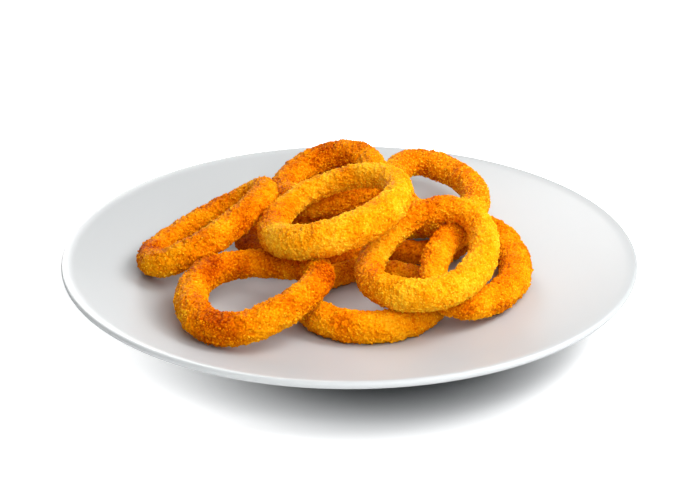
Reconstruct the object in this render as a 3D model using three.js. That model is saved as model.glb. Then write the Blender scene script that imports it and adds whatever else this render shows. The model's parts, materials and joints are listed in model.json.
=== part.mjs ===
// A side of breaded onion rings piled on a round white coupe plate.
// Millimetres, +Z up. The origin is the centre of the plate's foot, on the surface that it stands on.
// -Y is the front of the plate, where the pile is lowest.
import * as THREE from 'three';

// Plate: one shallow curve from the flat centre out to a rounded lip, on a low foot ring.
const PLATE_RADIUS = 135;
const PLATE_HEIGHT = 25;
const WELL_FLOOR = 6.5;
const WELL_RADIUS = 35;
const WELL_CURVE_POWER = 1.9;
const WALL_AT_FOOT = 4.2;
const WALL_AT_LIP = 3.2;
const LIP_RADIUS = 1.6;
const LIP_CENTRE = PLATE_RADIUS - LIP_RADIUS;
const LIP_STEPS = 4;
const FOOT_OUTER = 76;
const FOOT_INNER = 71;
const FOOT_TAPER = 1.8;
const RECESS_FLOOR = 2.3;
const RADIAL_STEPS = 8;
const PLATE_SEGMENTS = 60;

// Onion rings: a closed oval tube of lumpy breading. The gap stands in for contact.
const ROUND_STEPS = 44;
const SECTION_SIDES = 12;
const CRUST_DEPTH = 0.075;
const CRUST_WAVES = 5;
const FACET_ALLOWANCE = 1.015;
const BEADS = 132;
const LAY_GAP = 0.2;
const UP = new THREE.Vector3(0, 0, 1);

// The rings in the order in which they are laid, each on the plate and on the rings before it.
// `at` is the ring's centre seen from above, `size` its overall extent along and across, and `thick`
// the thickness of its tube. `turn` turns it in its own plane, and it slopes down by `lean` degrees
// towards the bearing `towards`, where 0 is +X and 90 is +Y. Four shape values are 0 where not given:
// `egg` widens one end, `wave` lifts the ring out of flat at `waveAt`, and `swell` thickens the
// tube by that share at `swellAt`.
const RINGS = [
  { name: 'ring_front', at: [10, -34], size: [72, 80], thick: 12, turn: -10, lean: 3, towards: 90,
    swell: 0.2, swellAt: 265, color: 0xd98a24 },
  { name: 'ring_under_left', at: [-24, 34], size: [66, 64], thick: 12, turn: 20, lean: 3, towards: -20,
    color: 0xc87a20 },
  { name: 'ring_under_right', at: [35, 33], size: [52, 39], thick: 11, turn: 0, lean: 4,
    towards: -115, egg: 0.1, color: 0xc87a20 },
  { name: 'ring_front_left', at: [-41, -52], size: [71, 84], thick: 13.5, turn: -10, lean: 8,
    towards: 160, egg: -0.1, wave: 3, waveAt: 170, swell: 0.1, swellAt: 235, color: 0xe39a2c },
  { name: 'ring_far_right', at: [58.5, -23], size: [50, 90], thick: 14, turn: -20, lean: 25,
    towards: -20, egg: -0.1, wave: 1.5, waveAt: 170, swell: 0.15, swellAt: 75, color: 0xe39a2c },
  { name: 'ring_back_right', at: [43.5, 58], size: [53, 86], thick: 14, turn: 10, lean: 4,
    towards: -50, egg: -0.15, color: 0xe8a433 },
  { name: 'ring_back', at: [-10.5, 58.5], size: [61, 63], thick: 14.5, turn: 0, lean: 13,
    towards: -155, wave: 1.5, waveAt: 65, color: 0xdd9028 },
  { name: 'ring_right', at: [34, -36], size: [66, 78], thick: 13, turn: -15, lean: 17, towards: -145,
    egg: 0.25, wave: 3, waveAt: 100, swell: 0.1, swellAt: 290, color: 0xf0b23c },
  { name: 'ring_top', at: [-6.5, -8], size: [75, 80], thick: 13.5, turn: 15, lean: 19, towards: 180,
    egg: -0.1, wave: 1, waveAt: 60, swell: 0.2, swellAt: 250, color: 0xf2b840 },
  { name: 'ring_left', at: [-67, 12], size: [86, 54], thick: 12, turn: 50, lean: 25, towards: 165,
    wave: 1, waveAt: 135, swell: 0.1, swellAt: 240, color: 0xe09428 },
];

function glazeMaterial() {
  return new THREE.MeshStandardMaterial({ color: 0xf1f2f3, roughness: 0.12, metalness: 0 });
}

function crustMaterial(color) {
  return new THREE.MeshStandardMaterial({ color, roughness: 0.8, metalness: 0 });
}

// Height of the plate's upper face at a distance from its centre.
function wellHeight(radius) {
  const along = Math.max(0, (radius - WELL_RADIUS) / (LIP_CENTRE - WELL_RADIUS));
  return WELL_FLOOR + (PLATE_HEIGHT - WELL_FLOOR) * along ** WELL_CURVE_POWER;
}

// Height of the plate's under face, one wall below the upper face.
function underHeight(radius) {
  const along = (radius - FOOT_OUTER) / (LIP_CENTRE - FOOT_OUTER);
  return wellHeight(radius) - THREE.MathUtils.lerp(WALL_AT_FOOT, WALL_AT_LIP, along);
}

function plateProfile() {
  const points = [
    new THREE.Vector2(0, RECESS_FLOOR),
    new THREE.Vector2(FOOT_INNER - FOOT_TAPER, RECESS_FLOOR),
    new THREE.Vector2(FOOT_INNER, 0),
    new THREE.Vector2(FOOT_OUTER, 0),
  ];
  for (let step = 0; step < RADIAL_STEPS - 2; step += 1) {
    const start = FOOT_OUTER + FOOT_TAPER;
    const radius = THREE.MathUtils.lerp(start, LIP_CENTRE, step / (RADIAL_STEPS - 2));
    points.push(new THREE.Vector2(radius, underHeight(radius)));
  }
  for (let step = 0; step <= LIP_STEPS; step += 1) {
    const angle = Math.PI * (step / LIP_STEPS - 0.5);
    const radius = LIP_CENTRE + LIP_RADIUS * Math.cos(angle);
    const height = PLATE_HEIGHT - LIP_RADIUS + LIP_RADIUS * Math.sin(angle);
    points.push(new THREE.Vector2(radius, height));
  }
  for (let step = 1; step <= RADIAL_STEPS; step += 1) {
    const radius = THREE.MathUtils.lerp(LIP_CENTRE, WELL_RADIUS, step / RADIAL_STEPS);
    points.push(new THREE.Vector2(radius, wellHeight(radius)));
  }
  points.push(new THREE.Vector2(0, WELL_FLOOR));
  return points;
}

function makePlate() {
  const geometry = new THREE.LatheGeometry(plateProfile(), PLATE_SEGMENTS);
  geometry.rotateX(Math.PI / 2);
  const plate = new THREE.Mesh(geometry, glazeMaterial());
  plate.name = 'plate';
  return plate;
}

// Lumps of the breading: a few waves that run around and across the tube, from 0 to 1.
function crustWaves(seed) {
  const waves = [];
  for (let index = 0; index < CRUST_WAVES; index += 1) {
    waves.push({
      around: 3 + index * 2 + (seed + index) % 2,
      across: index % 3,
      phase: (seed + 1) * (index + 1) * 2.4,
    });
  }
  return (around, across) => {
    const sum = waves.reduce(
      (total, wave) => total + Math.sin(wave.around * around + wave.across * across + wave.phase),
      0,
    );
    return 0.5 + 0.5 * (sum / CRUST_WAVES);
  };
}

// The tube's centreline at an angle around the ring, in the ring's own plane: the point, the
// direction in which the tube runs there and the tube's radius.
function centreline(ring, around) {
  const { egg = 0, wave = 0, waveAt = 0, swell = 0, swellAt = 0 } = ring;
  const [halfLength, halfWidth] = ring.size.map((extent) => (extent - ring.thick) / 2);
  const [sine, cosine] = [Math.sin(around), Math.cos(around)];
  const lift = 2 * (around - THREE.MathUtils.degToRad(waveAt));
  const point = new THREE.Vector3(
    halfLength * cosine,
    halfWidth * sine * (1 + egg * cosine),
    wave * Math.cos(lift),
  );
  const direction = new THREE.Vector3(
    -halfLength * sine,
    halfWidth * (cosine + egg * (cosine * cosine - sine * sine)),
    -2 * wave * Math.sin(lift),
  ).normalize();
  const thickened = 1 + swell * Math.cos(around - THREE.MathUtils.degToRad(swellAt));
  return { point, direction, radius: (ring.thick / 2) * thickened };
}

// A plain torus whose points are moved on to the ring's own centreline and crust.
function ringGeometry(ring, seed) {
  const [hub, tube] = [30, 6];
  const geometry = new THREE.TorusGeometry(hub, tube, SECTION_SIDES, ROUND_STEPS);
  const position = geometry.getAttribute('position');
  const lumps = crustWaves(seed);
  for (let index = 0; index < position.count; index += 1) {
    const plain = new THREE.Vector3().fromBufferAttribute(position, index);
    const around = Math.atan2(plain.y, plain.x);
    const across = Math.atan2(plain.z, Math.hypot(plain.x, plain.y) - hub);
    const { point, direction, radius } = centreline(ring, around);
    const outward = direction.clone().cross(UP).normalize();
    const upward = outward.clone().cross(direction);
    const crusted = radius * (1 - CRUST_DEPTH * lumps(around, across)) * FACET_ALLOWANCE;
    point.addScaledVector(outward, crusted * Math.cos(across));
    point.addScaledVector(upward, crusted * Math.sin(across));
    position.setXYZ(index, point.x, point.y, point.z);
  }
  geometry.computeVertexNormals();
  return geometry;
}

// The ring as a string of beads: points on its centreline with the tube's radius at each.
function beadsOf(ring, mesh) {
  mesh.updateMatrix();
  return Array.from({ length: BEADS }, (_, index) => {
    const { point, radius } = centreline(ring, (2 * Math.PI * index) / BEADS);
    return { centre: point.applyMatrix4(mesh.matrix), radius };
  });
}

// How far a string of beads has to rise to clear the plate and every bead laid before it.
function riseOf(beads, laid) {
  let rise = -Infinity;
  for (const { centre, radius } of beads) {
    const fromAxis = Math.hypot(centre.x, centre.y);
    const slope = wellHeight(fromAxis + 0.5) - wellHeight(fromAxis - 0.5);
    const clearance = (radius + LAY_GAP) * Math.hypot(1, slope);
    rise = Math.max(rise, wellHeight(fromAxis) + clearance - centre.z);
    for (const under of laid) {
      const reach = radius + under.radius + LAY_GAP;
      const apart = Math.hypot(centre.x - under.centre.x, centre.y - under.centre.y);
      if (apart < reach) {
        rise = Math.max(rise, under.centre.z + Math.sqrt(reach ** 2 - apart ** 2) - centre.z);
      }
    }
  }
  return rise;
}

function layRing(ring, seed, laid) {
  const mesh = new THREE.Mesh(ringGeometry(ring, seed), crustMaterial(ring.color));
  const lean = THREE.MathUtils.degToRad(ring.lean);
  const towards = THREE.MathUtils.degToRad(ring.towards);
  const level = new THREE.Vector3(Math.cos(towards), Math.sin(towards), 0);
  const axis = UP.clone().multiplyScalar(Math.cos(lean)).addScaledVector(level, Math.sin(lean));
  mesh.quaternion.setFromUnitVectors(UP, axis);
  mesh.rotateZ(THREE.MathUtils.degToRad(ring.turn));
  mesh.position.set(ring.at[0], ring.at[1], 0);
  mesh.position.z = riseOf(beadsOf(ring, mesh), laid);
  laid.push(...beadsOf(ring, mesh));
  mesh.name = ring.name;
  return mesh;
}

const side = new THREE.Group();
side.add(makePlate());
const laid = [];
RINGS.forEach((ring, index) => side.add(layRing(ring, index, laid)));

export default side;
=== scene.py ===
"""A side of breaded onion rings on a white coupe plate: crumb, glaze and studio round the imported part."""
import json
import math

import bpy
import numpy as np
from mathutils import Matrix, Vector

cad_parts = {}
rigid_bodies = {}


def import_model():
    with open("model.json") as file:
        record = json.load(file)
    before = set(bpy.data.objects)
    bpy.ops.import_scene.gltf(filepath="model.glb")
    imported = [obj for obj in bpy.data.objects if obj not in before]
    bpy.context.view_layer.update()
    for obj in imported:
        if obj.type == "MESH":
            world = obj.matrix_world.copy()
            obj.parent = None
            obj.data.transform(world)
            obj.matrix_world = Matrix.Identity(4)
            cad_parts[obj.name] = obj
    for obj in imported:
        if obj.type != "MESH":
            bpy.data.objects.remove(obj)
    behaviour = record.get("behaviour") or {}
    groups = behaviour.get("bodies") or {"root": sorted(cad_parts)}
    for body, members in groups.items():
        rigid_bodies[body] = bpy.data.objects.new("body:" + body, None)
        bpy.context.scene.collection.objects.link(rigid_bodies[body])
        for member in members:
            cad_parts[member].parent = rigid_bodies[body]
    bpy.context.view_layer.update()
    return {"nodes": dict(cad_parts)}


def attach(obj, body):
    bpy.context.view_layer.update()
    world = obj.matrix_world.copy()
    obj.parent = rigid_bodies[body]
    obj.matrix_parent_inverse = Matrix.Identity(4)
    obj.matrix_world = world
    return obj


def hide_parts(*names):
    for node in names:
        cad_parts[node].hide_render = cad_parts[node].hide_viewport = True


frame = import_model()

MM = 0.001

# Camera: as far as a short telephoto stands from a plate of food, looking down at it.
CAMERA_DISTANCE = 0.8
CAMERA_ELEVATION = math.radians(24.2)
CAMERA_LENS = 86.8
CAMERA_SENSOR = 36
CAMERA_CLIP = 0.01
AIM = Vector((0.3, 0, 23)) * MM

# CAD meshes: points this near in millimetres are merged, and faces this flat in degrees become quads.
WELD_GAP = 0.001
QUAD_ANGLE = 60

# Plate, in millimetres and degrees: one shallow curve from the flat centre to a rounded lip, on a foot
# ring. Its clay is bare up to the first height of FOOT_BARE and fully glazed from the second.
PLATE_RADIUS = 135.0
PLATE_HEIGHT = 25.0
WELL_FLOOR = 6.5
WELL_RADIUS = 35.0
WELL_CENTRE = 8.0
WELL_CURVE_POWER = 1.9
WALL_AT_FOOT = 4.2
WALL_AT_LIP = 3.2
LIP_RADIUS = 1.6
LIP_CENTRE = PLATE_RADIUS - LIP_RADIUS
LIP_SWEEP = 75
FOOT_OUTER = 76.0
FOOT_INNER = 71.0
FOOT_TAPER = 1.8
FOOT_BEVEL = 0.4
FOOT_BARE = (0.5, 0.9)
RECESS_FLOOR = 2.3
PLATE_SEGMENTS = 144
UPPER_STEPS = 30
LIP_STEPS = 9
UNDER_STEPS = 14
CREASE_ANGLE = 30

# Glaze: widths of its pools, its ripples and the clay's grain and the ripples' depth in millimetres.
POOL_WIDTH = 60.0
RIPPLE_WIDTH = 25.0
RIPPLE_DEPTH = 0.05
CLAY_WIDTH = 1.5
GLAZE_ROUGHNESS = 0.4
CLAY_ROUGHENS = 0.3
POOL_ROUGHENS = 0.05

# Breading, in millimetres: the bare tube is swollen by the batter and remeshed this fine, then each
# coat moves the surface up or down by half its height. The crumb's height is negative, because its
# texture is darkest in the middle of a grain, which has to stand up.
TUBE_SUBDIVISIONS = 2
BATTER = 0.45
CRUMB_VOXEL = 0.36
HIDDEN_VOXEL = 0.5
COATS = (
    {"name": "batter", "kind": "CLOUDS", "size": 6.5, "height": 1.4},
    {"name": "clump", "kind": "CLOUDS", "size": 2.2, "height": 2.0},
    {"name": "crumb", "kind": "VORONOI", "size": 1.0, "height": -0.6},
)

# The percentiles of the last coat's lift that count as the deepest crevice and the highest crest.
CREVICE_AND_CREST = (2, 98)

# Each ring's slot and how pale its crust is fried: 0 is orange brown and 1 is yellow.
CRUSTS = {
    "ring_top": ("crust_golden", 0.7),
    "ring_right": ("crust_golden", 0.67),
    "ring_back_right": ("crust_golden", 0.52),
    "ring_far_right": ("crust_orange", 0.5),
    "ring_left": ("crust_orange", 0.5),
    "ring_front_left": ("crust_orange", 0.5),
    "ring_back": ("crust_orange", 0.48),
    "ring_front": ("crust_orange", 0.54),
    "ring_under_left": ("crust_brown", 0.36),
    "ring_under_right": ("crust_brown", 0.42),
}
HIDDEN_RINGS = ("ring_under_left", "ring_under_right")

# Loose crumbs lie all over the rings of one slot. Their radius is in millimetres.
SCATTERS = (
    {"name": "golden_crumbs", "slot": "crust_golden", "pale": 0.85, "seed": 13},
    {"name": "amber_crumbs", "slot": "crust_orange", "pale": 0.7, "seed": 12},
)
CRUMB_COUNT = 9500
CRUMB_RADIUS = (0.18, 0.62)
CRUMB_TONE = (0.35, 1.0)

# How far the crust's paleness sways with the crests, the heat of the fat and the single crumbs. The sway
# with the crests is painted shade, darker in the crevices; on loose crumbs it follows each crumb's own tone.
CREST_SHADE_AND_TONE_SWAY = 0.28
FRY_SWAY = 0.32
FLECK_SWAY = 0.12
PALENESS_MIDDLE = 0.39

# Widths of the crust's blotches and grains and the depth of its finest relief, in millimetres.
FRY_WIDTH = 13.0
OIL_WIDTH = 5.0
FLECK_WIDTH = 1.3
GRAIN_WIDTH = 0.7
FINE_WIDTH = 0.5
CRUST_RELIEF = 0.3
CRUST_ROUGHNESS = 0.75
OIL_SMOOTHS = 0.15

# Noise keeps near its middle, so these bands of it are stretched to run from 0 to 1.
BLOTCH_BAND = (0.3, 0.7)
OIL_BAND = (0.45, 0.7)

# Where the fat was hottest the crust is browner, and where other rings shade it the crust is painted darker
# as shade: places in the pile and the radius, in millimetres.
BROWNING_AND_SHADE = 0.3
BROWNED_AND_SHADED = (
    ((38, -6, 47), 28),
    ((12, -40, 37), 19),
    ((-10, 84, 38), 18),
    ((-38, -6, 43), 22),
    ((-4, 21, 56), 10),
    ((-24, 10, 50), 14),
    ((-95, -4, 22), 16),
    ((46, 92, 30), 16),
    ((-55, -86, 26), 18),
    ((-57, -32, 32), 22),
    ((-14, -58, 37), 18),
)

# Studio, in metres and watts. The paper glows as painted light, except in front of the plate's foot, where
# its colour is also painted grey as a shadow.
PAPER_SIZE = 8
PAPER_GLOW = 0.7
AIR_GLOW = 0.18
SHADE_AT = (0.018, -0.06, 0)
SHADE_INNER = 0.03
SHADE_OUTER = 0.14
PILE_MIDDLE = (0, 0, 0.02)
SOFTBOXES = (
    {"name": "top_softbox", "at": (0.45, 0.35, 1.0), "size": (1.0, 1.0), "power": 3.6,
     "aim": (0, 0, 0), "seen_in": ("diffuse",)},
    {"name": "key_softbox", "at": (0.4, -0.1, 0.5), "size": (0.3, 0.3), "power": 3.2,
     "aim": PILE_MIDDLE, "seen_in": ("diffuse", "glossy")},
    {"name": "front_softbox", "at": (0.15, -0.55, 0.52), "size": (0.5, 0.5), "power": 4.4,
     "aim": PILE_MIDDLE, "seen_in": ("diffuse",)},
    {"name": "glare_card", "at": (-0.9, 1.4, 1.05), "size": (1.5, 2.1), "power": 80,
     "aim": (-0.9, 0, 1.05), "seen_in": ("glossy",)},
)


# ---------------------------------------------------------------- colours

def rgb(red, green, blue):
    """A colour from display values between 0 and 255."""
    shares = [channel / 255 for channel in (red, green, blue)]
    linear = [s / 12.92 if s <= 0.04045 else ((s + 0.055) / 1.055) ** 2.4 for s in shares]
    return (*linear, 1.0)


FRIED = (
    (0.0, rgb(124, 34, 0)),
    (0.2, rgb(184, 74, 1)),
    (0.42, rgb(222, 117, 2)),
    (0.65, rgb(245, 157, 9)),
    (1.0, rgb(255, 200, 44)),
)
OIL_SHEEN = rgb(255, 190, 90)
GLAZE = (rgb(183, 186, 187), rgb(186, 189, 190))
CLAY = (rgb(204, 194, 178), rgb(222, 214, 200))
PAPER = rgb(252, 252, 252)
SHADED_PAPER = rgb(140, 142, 144)
BLACK = (0, 0, 0, 1)
WHITE = (1, 1, 1, 1)


# ---------------------------------------------------------------- working with objects

def select_only(*objects):
    """Leaves just these objects selected, the first of them active."""
    for other in bpy.context.view_layer.objects:
        other.select_set(False)
    for chosen in objects:
        chosen.select_set(True)
    bpy.context.view_layer.objects.active = objects[0]


def apply_modifier(piece, kind, **settings):
    """Adds one modifier to a piece and applies it."""
    select_only(piece)
    modifier = piece.modifiers.new(kind.lower(), kind)
    for name, value in settings.items():
        setattr(modifier, name, value)
    bpy.ops.object.modifier_apply(modifier=modifier.name)


def copy_of(source, name):
    """A copy of an object with its own mesh and no materials."""
    piece = bpy.data.objects.new(name, source.data.copy())
    bpy.context.scene.collection.objects.link(piece)
    piece.data.materials.clear()
    return piece


def copy_node(node, name):
    """A merged, quad-faced copy of a CAD node, to be worked into the piece that replaces it."""
    piece = copy_of(frame["nodes"][node], name)
    flat = math.radians(QUAD_ANGLE)
    select_only(piece)
    bpy.ops.object.mode_set(mode="EDIT")
    bpy.ops.mesh.select_all(action="SELECT")
    bpy.ops.mesh.remove_doubles(threshold=WELD_GAP * MM)
    bpy.ops.mesh.tris_convert_to_quads(face_threshold=flat, shape_threshold=flat)
    bpy.ops.object.mode_set(mode="OBJECT")
    return piece


def points_of(piece, what="co"):
    """The places of a mesh's points, or their normals, as an array."""
    values = np.zeros(len(piece.data.vertices) * 3, np.float32)
    piece.data.vertices.foreach_get(what, values)
    return values.reshape(-1, 3)


def settle(piece, finish, nodes=()):
    """Gives a finished piece its material and its place in the frame."""
    piece.data.materials.clear()
    piece.data.materials.append(finish)
    if nodes:
        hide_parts(*nodes)
    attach(piece, "root")


# ---------------------------------------------------------------- shader maths

class Value:
    """A shader socket that takes arithmetic: each operator adds the Math node that it needs."""

    def __init__(self, finish, socket):
        self.finish = finish
        self.socket = socket

    def maths(self, operation, first, second):
        return self.finish.node("ShaderNodeMath", {"operation": operation}, {0: first, 1: second})

    def __add__(self, other):
        return self.maths("ADD", self, other)

    def __sub__(self, other):
        return self.maths("SUBTRACT", self, other)

    def __rsub__(self, other):
        return self.maths("SUBTRACT", other, self)

    def __mul__(self, other):
        return self.maths("MULTIPLY", self, other)

    __radd__ = __add__
    __rmul__ = __mul__


class Finish:
    """A material in the making, with one method that adds any node."""

    def __init__(self, name, constants):
        self.material = bpy.data.materials.new(name)
        self.material.use_nodes = True
        self.tree = self.material.node_tree
        self.shader = self.tree.nodes["Principled BSDF"]
        for socket, value in constants.items():
            self.shader.inputs[socket].default_value = value

    def connect(self, value, socket):
        if isinstance(value, Value):
            self.tree.links.new(value.socket, socket)
        else:
            socket.default_value = value

    def node(self, kind, settings=None, sockets=None, output=0):
        """Adds a node: its settings first, then the values or links of its sockets."""
        node = self.tree.nodes.new(kind)
        for name, value in (settings or {}).items():
            if name == "stops":
                self.set_stops(node.color_ramp, value)
            else:
                setattr(node, name, value)
        for name, value in (sockets or {}).items():
            self.connect(value, node.inputs[name])
        return Value(self, node.outputs[output])

    @staticmethod
    def set_stops(ramp, stops):
        while len(ramp.elements) < len(stops):
            ramp.elements.new(1.0)
        for element, (position, colour) in zip(ramp.elements, stops):
            element.position = position
            element.color = colour

    def place(self):
        return self.node("ShaderNodeTexCoord", output="Object")

    def noise(self, grain, detail=3.0):
        """Cloudy noise from 0 to 1 whose blotches are about `grain` millimetres wide."""
        return self.node("ShaderNodeTexNoise", {"noise_dimensions": "3D"}, {
            "Vector": self.place(),
            "Scale": 1 / (grain * MM),
            "Detail": detail,
            "Roughness": 0.55,
        })

    def grains(self, size):
        """Distance from the nearest grain's middle, 0 there and near 1 between grains."""
        sockets = {"Vector": self.place(), "Scale": 1 / (size * MM)}
        return self.node("ShaderNodeTexVoronoi", {"feature": "F1"}, sockets)

    def distance(self, point):
        """Distance in metres from a point."""
        settings = {"operation": "DISTANCE"}
        return self.node("ShaderNodeVectorMath", settings, {0: self.place(), 1: point}, output="Value")

    def spread(self, value, low, high, how="LINEAR"):
        """A value moved so that low becomes 0 and high becomes 1, cut off at both ends."""
        settings = {"clamp": True, "interpolation_type": how}
        sockets = {"Value": value, "From Min": low, "From Max": high, "To Min": 0.0, "To Max": 1.0}
        return self.node("ShaderNodeMapRange", settings, sockets)

    def blend(self, share, first, second):
        """Mixes two colours by a share from 0 to 1."""
        sockets = {"Factor": share, 6: first, 7: second}
        return self.node("ShaderNodeMix", {"data_type": "RGBA"}, sockets, output=2)

    def bump(self, height, depth, strength=1.0):
        """A bump of a height from 0 to 1 that stands for a real depth in millimetres."""
        sockets = {"Height": height, "Distance": depth * MM, "Strength": strength}
        return self.node("ShaderNodeBump", sockets=sockets)

    def paint(self, varied):
        """Links what varies over the surface to the shader's sockets."""
        for socket, value in varied.items():
            self.connect(value, self.shader.inputs[socket])
        return self.material


# ---------------------------------------------------------------- finishes

def fried_crumb(name, pale):
    """Fried breadcrumb from reddish brown to yellow: painted darker in the crevices and paler on the crests
    as shade, and browner in spots, partly from the fat and partly painted shade.
    """
    finish = Finish(name, {
        "Specular IOR Level": 0.03,
        "Specular Tint": OIL_SHEEN,
        "Subsurface Weight": 0.08,
        "Subsurface Radius": (2.0 * MM, 0.8 * MM, 0.1 * MM),
        "Subsurface Scale": 1.0,
    })
    # The crumb coat's height paints the crust darker in its crevices as shade; on loose crumbs it holds
    # their random tone instead.
    crest = finish.node("ShaderNodeAttribute", {"attribute_name": "crumb_height"}, output="Fac")
    fry = finish.spread(finish.noise(FRY_WIDTH, detail=2.0), *BLOTCH_BAND)
    fleck = finish.spread(finish.noise(FLECK_WIDTH, detail=2.0), *BLOTCH_BAND)
    paleness = crest * CREST_SHADE_AND_TONE_SWAY + fry * FRY_SWAY + fleck * FLECK_SWAY + (pale - PALENESS_MIDDLE)
    # Spots that lower the paleness: some are browning, some are painted shade where other rings shadow the
    # crust.
    for place, radius in BROWNED_AND_SHADED:
        away = finish.distance(Vector(place) * MM)
        paleness = paleness - finish.spread(away, radius * MM, 0.0, "SMOOTHSTEP") * BROWNING_AND_SHADE
    grain = 1 - finish.grains(GRAIN_WIDTH)
    fine = finish.noise(FINE_WIDTH)
    oil = finish.spread(finish.noise(OIL_WIDTH), *OIL_BAND)
    return finish.paint({
        "Base Color": finish.node("ShaderNodeValToRGB", {"stops": FRIED}, {"Fac": paleness}),
        "Roughness": CRUST_ROUGHNESS - oil * OIL_SMOOTHS,
        "Normal": finish.bump(grain * 0.6 + fine * 0.6, CRUST_RELIEF, strength=0.8),
    })


def white_glaze():
    """Soft gloss glaze over white stoneware, bare and matt where the foot stands."""
    finish = Finish("white_glaze", {"IOR": 1.5})
    height = finish.node("ShaderNodeSeparateXYZ", sockets={"Vector": finish.place()}, output="Z")
    bare_below, glazed_above = FOOT_BARE
    bare = finish.spread(height, glazed_above * MM, bare_below * MM)
    pool = finish.noise(POOL_WIDTH, detail=1.0)
    glaze = finish.blend(pool, *GLAZE)
    clay = finish.blend(finish.noise(CLAY_WIDTH), *CLAY)
    return finish.paint({
        "Base Color": finish.blend(bare, glaze, clay),
        "Roughness": GLAZE_ROUGHNESS + bare * CLAY_ROUGHENS + pool * POOL_ROUGHENS,
        "Normal": finish.bump(finish.noise(RIPPLE_WIDTH, detail=1.0), RIPPLE_DEPTH),
    })


# ---------------------------------------------------------------- breading

def coat_texture(coat):
    """The texture that lays down one coat of breading."""
    texture = bpy.data.textures.new(coat["name"], coat["kind"])
    texture.noise_scale = coat["size"] * MM
    return texture


def breaded_ring(node, slot, pale, textures):
    """The CAD ring's tube, remeshed fine and covered with the coats of breading."""
    name = node + "_crust"
    ring = copy_node(node, name)
    voxel = HIDDEN_VOXEL if node in HIDDEN_RINGS else CRUMB_VOXEL
    apply_modifier(ring, "SUBSURF", levels=TUBE_SUBDIVISIONS, render_levels=TUBE_SUBDIVISIONS)
    apply_modifier(ring, "DISPLACE", strength=BATTER * MM, mid_level=0.0)
    apply_modifier(ring, "REMESH", mode="VOXEL", voxel_size=voxel * MM)
    for coat, texture in zip(COATS, textures):
        before = points_of(ring)
        outward = points_of(ring, "normal")
        apply_modifier(ring, "DISPLACE", texture=texture, texture_coords="LOCAL",
                       strength=coat["height"] * MM, mid_level=0.5)
    store_height(ring, ((points_of(ring) - before) * outward).sum(axis=1))
    bpy.ops.object.shade_smooth()
    settle(ring, fried_crumb(name, pale), [node])
    return ring


def store_height(ring, lift):
    """Keeps how far the last coat lifted each point, from 0 in the crevices to 1 on the crests, which the
    crust uses to paint shade in its crevices.
    """
    low, high = np.percentile(lift, CREVICE_AND_CREST)
    height = np.clip((lift - low) / (high - low), 0, 1)
    ring.data.attributes.new("crumb_height", "FLOAT", "POINT").data.foreach_set("value", height)


def wire(tree, kind, settings=None, sockets=None):
    """Adds a geometry node: its settings, then the values or links of its sockets."""
    node = tree.nodes.new(kind)
    for name, value in (settings or {}).items():
        setattr(node, name, value)
    for name, value in (sockets or {}).items():
        if isinstance(value, bpy.types.NodeSocket):
            tree.links.new(value, node.inputs[name])
        else:
            node.inputs[name].default_value = value
    return node


def crumb_scatter(name, density, seed):
    """Geometry nodes that swap a surface for loose crumbs lying on it."""
    tree = bpy.data.node_groups.new(name, "GeometryNodeTree")
    tree.interface.new_socket("Geometry", in_out="INPUT", socket_type="NodeSocketGeometry")
    tree.interface.new_socket("Geometry", in_out="OUTPUT", socket_type="NodeSocketGeometry")
    smallest, largest = (radius * MM for radius in CRUMB_RADIUS)
    darkest, palest = CRUMB_TONE
    start = wire(tree, "NodeGroupInput")
    spots = wire(tree, "GeometryNodeDistributePointsOnFaces", {"distribute_method": "RANDOM"},
                 {"Mesh": start.outputs[0], "Density": density, "Seed": seed})
    chip = wire(tree, "GeometryNodeMeshIcoSphere", sockets={"Radius": 1.0, "Subdivisions": 1})
    shape = wire(tree, "FunctionNodeRandomValue", {"data_type": "FLOAT_VECTOR"},
                 {0: (smallest,) * 3, 1: (largest,) * 3, "Seed": seed + 1})
    turn = wire(tree, "FunctionNodeRandomValue", {"data_type": "FLOAT_VECTOR"},
                {0: (0,) * 3, 1: (math.tau,) * 3, "Seed": seed + 2})
    chips = wire(tree, "GeometryNodeInstanceOnPoints", sockets={
        "Points": spots.outputs["Points"], "Instance": chip.outputs["Mesh"],
        "Rotation": turn.outputs[0], "Scale": shape.outputs[0]})
    tone = wire(tree, "FunctionNodeRandomValue", {"data_type": "FLOAT"},
                {2: darkest, 3: palest, "Seed": seed + 3})
    toned = wire(tree, "GeometryNodeStoreNamedAttribute", {"data_type": "FLOAT", "domain": "INSTANCE"},
                 {"Geometry": chips.outputs[0], "Name": "crumb_height", "Value": tone.outputs[1]})
    real = wire(tree, "GeometryNodeRealizeInstances", sockets={"Geometry": toned.outputs[0]})
    wire(tree, "NodeGroupOutput", sockets={0: real.outputs[0]})
    return tree


def loose_crumbs(name, slot, pale, seed, rings):
    """Loose crumbs stuck all over the breaded rings of one slot, as one piece."""
    beds = [copy_of(ring, name) for node, ring in rings.items() if CRUSTS[node][0] == slot]
    select_only(*beds)
    bpy.ops.object.join()
    crumbs = beds[0]
    area = sum(face.area for face in crumbs.data.polygons)
    apply_modifier(crumbs, "NODES", node_group=crumb_scatter(name, CRUMB_COUNT / area, seed))
    settle(crumbs, fried_crumb(name, pale))


# ---------------------------------------------------------------- plate

def well_height(radius):
    """Height of the plate's upper face at a distance from its centre, in millimetres."""
    along = max(0.0, (radius - WELL_RADIUS) / (LIP_CENTRE - WELL_RADIUS))
    return WELL_FLOOR + (PLATE_HEIGHT - WELL_FLOOR) * along ** WELL_CURVE_POWER


def under_height(radius):
    """Height of the plate's under face, one wall below the upper face."""
    along = (radius - FOOT_OUTER) / (LIP_CENTRE - FOOT_OUTER)
    return well_height(radius) - (WALL_AT_FOOT + (WALL_AT_LIP - WALL_AT_FOOT) * along)


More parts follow.
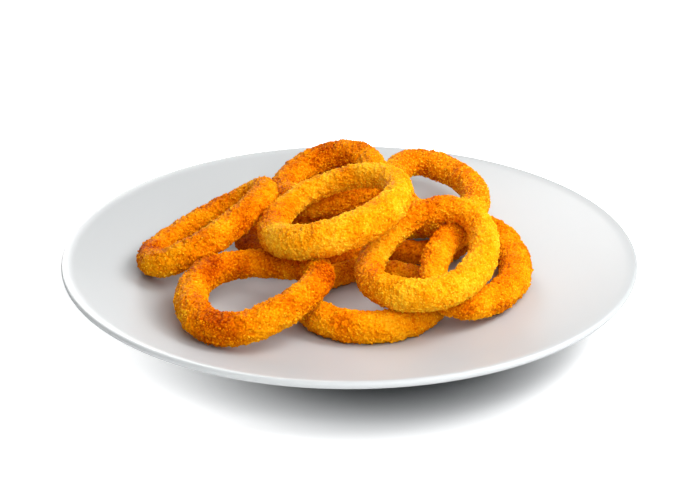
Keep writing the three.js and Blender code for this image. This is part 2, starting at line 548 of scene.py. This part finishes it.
def plate_profile():
    """The plate's outline as radius and height, from the middle of the well round to the recess."""
    upper = np.linspace(WELL_CENTRE, LIP_CENTRE, UPPER_STEPS)
    under = np.linspace(LIP_CENTRE, FOOT_OUTER + FOOT_TAPER, UNDER_STEPS)
    lip_height = PLATE_HEIGHT - LIP_RADIUS
    profile = [(radius, well_height(radius)) for radius in upper]
    for angle in np.radians(np.linspace(LIP_SWEEP, -LIP_SWEEP, LIP_STEPS)):
        across, up = LIP_RADIUS * math.cos(angle), LIP_RADIUS * math.sin(angle)
        profile.append((LIP_CENTRE + across, lip_height + up))
    profile += [(radius, under_height(radius)) for radius in under]
    profile += [
        (FOOT_OUTER, FOOT_BEVEL),
        (FOOT_OUTER - FOOT_BEVEL, 0),
        (FOOT_INNER + FOOT_BEVEL, 0),
        (FOOT_INNER, FOOT_BEVEL),
        (FOOT_INNER - FOOT_TAPER, RECESS_FLOOR),
        (WELL_CENTRE, RECESS_FLOOR),
    ]
    return profile


def glazed_plate():
    """The plate, drawn out from a disc in the well over the lip and back in under the foot."""
    profile = plate_profile()
    radius, height = profile[0]
    bpy.ops.mesh.primitive_circle_add(vertices=PLATE_SEGMENTS, radius=radius * MM, fill_type="TRIFAN",
                                      location=(0, 0, height * MM))
    plate = bpy.context.object
    plate.name = "coupe_plate"
    bpy.ops.object.transform_apply(location=True, rotation=False, scale=False)
    bpy.ops.object.mode_set(mode="EDIT")
    bpy.ops.mesh.select_mode(type="EDGE")
    bpy.ops.mesh.select_all(action="DESELECT")
    bpy.ops.mesh.select_non_manifold()
    for next_radius, next_height in profile[1:]:
        bpy.ops.mesh.extrude_edges_move(
            TRANSFORM_OT_translate={"value": (0, 0, (next_height - height) * MM)})
        widen = next_radius / radius
        bpy.ops.transform.resize(value=(widen, widen, 1), center_override=(0, 0, 0))
        radius, height = next_radius, next_height
    bpy.ops.mesh.edge_face_add()
    bpy.ops.mesh.poke()
    bpy.ops.mesh.select_all(action="SELECT")
    bpy.ops.mesh.normals_make_consistent(inside=False)
    bpy.ops.object.mode_set(mode="OBJECT")
    bpy.ops.object.shade_smooth_by_angle(angle=math.radians(CREASE_ANGLE))
    settle(plate, white_glaze(), ["plate"])


# ---------------------------------------------------------------- studio

def studio_floor():
    """White paper that glows as painted light, with a painted shadow in front of the plate's foot where it
    neither glows nor stays white, and that the glaze can't mirror.
    """
    bpy.ops.mesh.primitive_plane_add(size=PAPER_SIZE)
    floor = bpy.context.object
    floor.name = "studio_floor"
    finish = Finish("glowing_paper_painted_shadow", {"Roughness": 0.9, "Specular IOR Level": 0.0, "Emission Strength": 1.0})
    # Painted shadow: the paper's glow and whiteness fade out towards this spot in front of the foot.
    beyond_painted_shadow = finish.spread(finish.distance(SHADE_AT), SHADE_INNER, SHADE_OUTER, "SMOOTHSTEP")
    floor.data.materials.append(finish.paint({
        "Base Color": finish.blend(beyond_painted_shadow, SHADED_PAPER, PAPER),
        "Emission Color": finish.blend(beyond_painted_shadow, BLACK, (PAPER_GLOW, PAPER_GLOW, PAPER_GLOW, 1)),
    }))
    floor.visible_glossy = False


def softbox(name, at, size, power, aim, seen_in):
    """A rectangular light, in metres and watts, aimed at a point."""
    light = bpy.data.lights.new(name, "AREA")
    light.shape = "RECTANGLE"
    light.size, light.size_y = size
    light.energy = power
    lamp = bpy.data.objects.new(name, light)
    lamp.location = at
    lamp.rotation_euler = (Vector(aim) - Vector(at)).to_track_quat("-Z", "Y").to_euler()
    lamp.visible_diffuse = "diffuse" in seen_in
    lamp.visible_glossy = "glossy" in seen_in
    bpy.context.scene.collection.objects.link(lamp)


def studio():
    """The paper, the lights and the pale air round them."""
    studio_floor()
    for box in SOFTBOXES:
        softbox(**box)
    world = bpy.data.worlds.new("studio_air")
    world.use_nodes = True
    air = world.node_tree.nodes["Background"]
    air.inputs["Color"].default_value = WHITE
    air.inputs["Strength"].default_value = AIR_GLOW
    bpy.context.scene.world = world
    bpy.context.scene.view_settings.view_transform = "Standard"


def camera():
    """A camera in front of the plate that looks down at the pile."""
    data = bpy.data.cameras.new("camera")
    data.lens = CAMERA_LENS
    data.sensor_width = CAMERA_SENSOR
    data.clip_start = CAMERA_CLIP
    back = Vector((0, -math.cos(CAMERA_ELEVATION), math.sin(CAMERA_ELEVATION)))
    stand = bpy.data.objects.new("camera", data)
    stand.location = AIM + CAMERA_DISTANCE * back
    stand.rotation_euler = (math.pi / 2 - CAMERA_ELEVATION, 0, 0)
    bpy.context.scene.collection.objects.link(stand)
    bpy.context.scene.camera = stand


# ---------------------------------------------------------------- the whole side

camera()
studio()

coat_textures = [coat_texture(coat) for coat in COATS]
rings = {node: breaded_ring(node, *crust, coat_textures) for node, crust in CRUSTS.items()}
for scatter in SCATTERS:
    loose_crumbs(rings=rings, **scatter)
glazed_plate()
